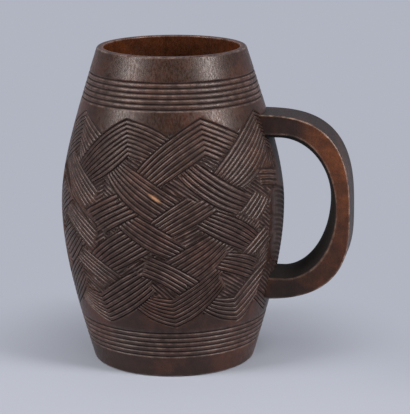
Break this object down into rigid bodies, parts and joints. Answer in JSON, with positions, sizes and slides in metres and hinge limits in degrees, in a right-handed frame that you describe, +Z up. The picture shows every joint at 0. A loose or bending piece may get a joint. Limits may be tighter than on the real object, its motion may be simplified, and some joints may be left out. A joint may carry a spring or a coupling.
{
  "type": "carved wooden mug",
  "caption": "Barrel-shaped wooden mug carved from one block, with turned ring bands above and below a plaited carved belly, and a flat-sided strap handle.",
  "frame": {"origin": "centre of the flat base, where the cup's axis meets the surface that the mug stands on", "axes": "+Z up along the cup's axis, +X out through the middle of the handle, +Y across the mug to the left of someone who looks out along the handle"},
  "size_m": [0.1569, 0.1198, 0.17],
  "materials": {
    "cup_wood": "dark carved hardwood with a satin hand-worn patina",
    "handle_wood": "dark hardwood polished by the hand, redder where it is worn"
  },
  "bodies": {
    "root": {"cup_body": "cup_wood", "handle": "handle_wood"}
  },
  "joints": []
}
